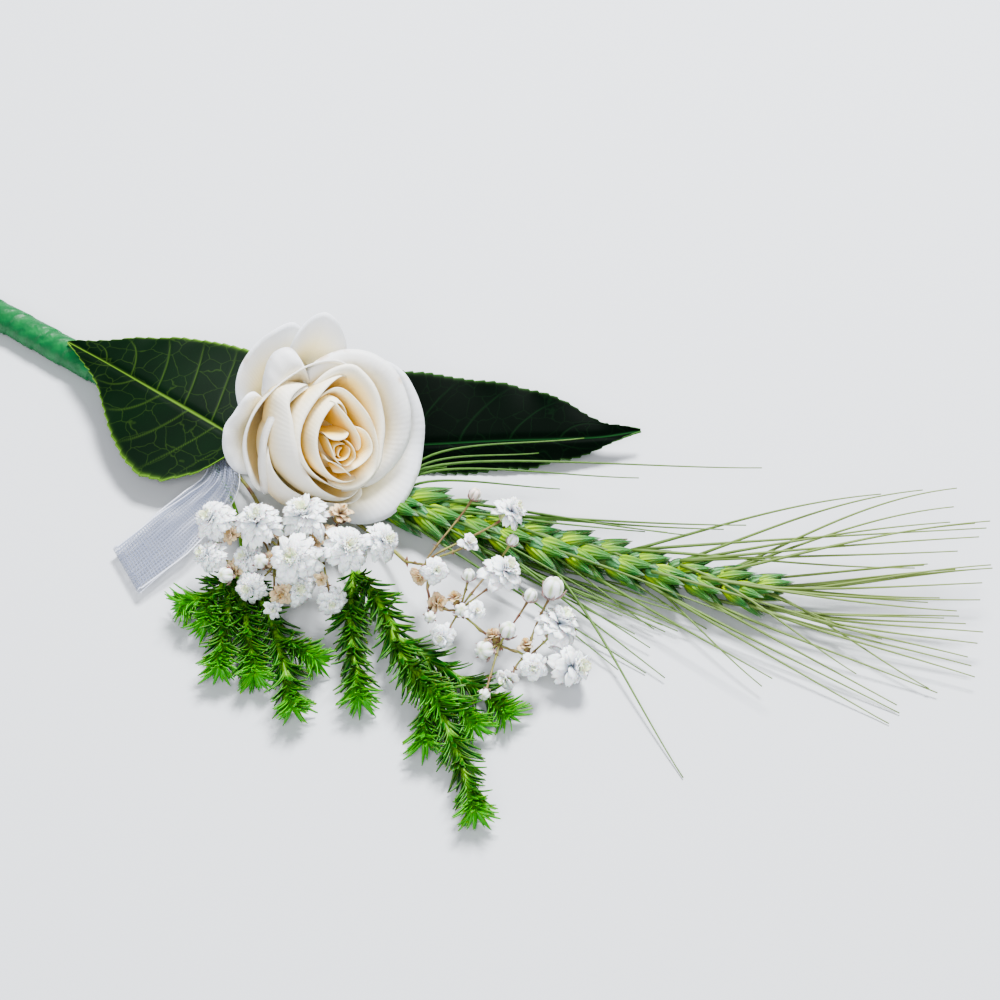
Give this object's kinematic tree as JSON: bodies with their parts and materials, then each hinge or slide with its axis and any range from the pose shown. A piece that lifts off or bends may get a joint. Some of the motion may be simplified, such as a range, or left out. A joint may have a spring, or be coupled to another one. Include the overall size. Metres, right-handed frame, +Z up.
{
  "type": "boutonniere",
  "caption": "Boutonniere of a cream rose with leaves, a bearded wheat ear, gypsophila, needle greenery and an organza loop, its stems wound in green tape.",
  "frame": {"origin": "middle of the bounding box at the height of the table that it lies on", "axes": "+X along the wheat ear, from the taped stems to the awn tips; +Y across, towards the top of the rose; +Z up from the table"},
  "size_m": [0.238, 0.1582, 0.0407],
  "materials": {
    "florist_tape": "waxed crepe paper tape",
    "rose_petal": "soft velvety petal",
    "green_stem": "smooth green stem",
    "leaf": "glossy evergreen leaf",
    "wheat": "green cereal ear",
    "needle_greenery": "fresh green needles",
    "organza": "sheer woven ribbon",
    "dry_stem": "dry brown stalk",
    "white_flower": "matte white petals",
    "dried_flower": "matte dried petals"
  },
  "bodies": {
    "root": {"greenery_left": "needle_greenery", "greenery_right": "needle_greenery", "gypsophila_bud_a12": "white_flower", "gypsophila_bud_a13": "white_flower", "gypsophila_bud_a14": "white_flower", "gypsophila_bud_a16": "dried_flower", "gypsophila_bud_b01": "dried_flower", "gypsophila_bud_b03": "white_flower", "gypsophila_bud_b06": "white_flower", "gypsophila_bud_b08": "white_flower", "gypsophila_bud_b09": "white_flower", "gypsophila_bud_b11": "white_flower", "gypsophila_bud_b12": "white_flower", "gypsophila_bud_b17": "white_flower", "gypsophila_bud_b19": "white_flower", "gypsophila_bud_b20": "white_flower", "gypsophila_head_a01": "white_flower", "gypsophila_head_a02": "white_flower", "gypsophila_head_a03": "white_flower", "gypsophila_head_a04": "white_flower", "gypsophila_head_a05": "dried_flower", "gypsophila_head_a06": "white_flower", "gypsophila_head_a07": "white_flower", "gypsophila_head_a08": "white_flower", "gypsophila_head_a09": "white_flower", "gypsophila_head_a10": "white_flower", "gypsophila_head_a11": "white_flower", "gypsophila_head_a15": "dried_flower", "gypsophila_head_a17": "white_flower", "gypsophila_head_a18": "white_flower", "gypsophila_head_b02": "white_flower", "gypsophila_head_b04": "white_flower", "gypsophila_head_b05": "white_flower", "gypsophila_head_b07": "white_flower", "gypsophila_head_b10": "white_flower", "gypsophila_head_b13": "white_flower", "gypsophila_head_b14": "white_flower", "gypsophila_head_b15": "white_flower", "gypsophila_head_b16": "white_flower", "gypsophila_head_b18": "white_flower", "gypsophila_stems_a": "dry_stem", "gypsophila_stems_b": "dry_stem", "leaf_left": "leaf", "leaf_right": "leaf", "ribbon_loop": "organza", "rose_petals": "rose_petal", "rose_stem": "green_stem", "stem_tape": "florist_tape", "wheat_ear": "wheat"}
  },
  "joints": []
}
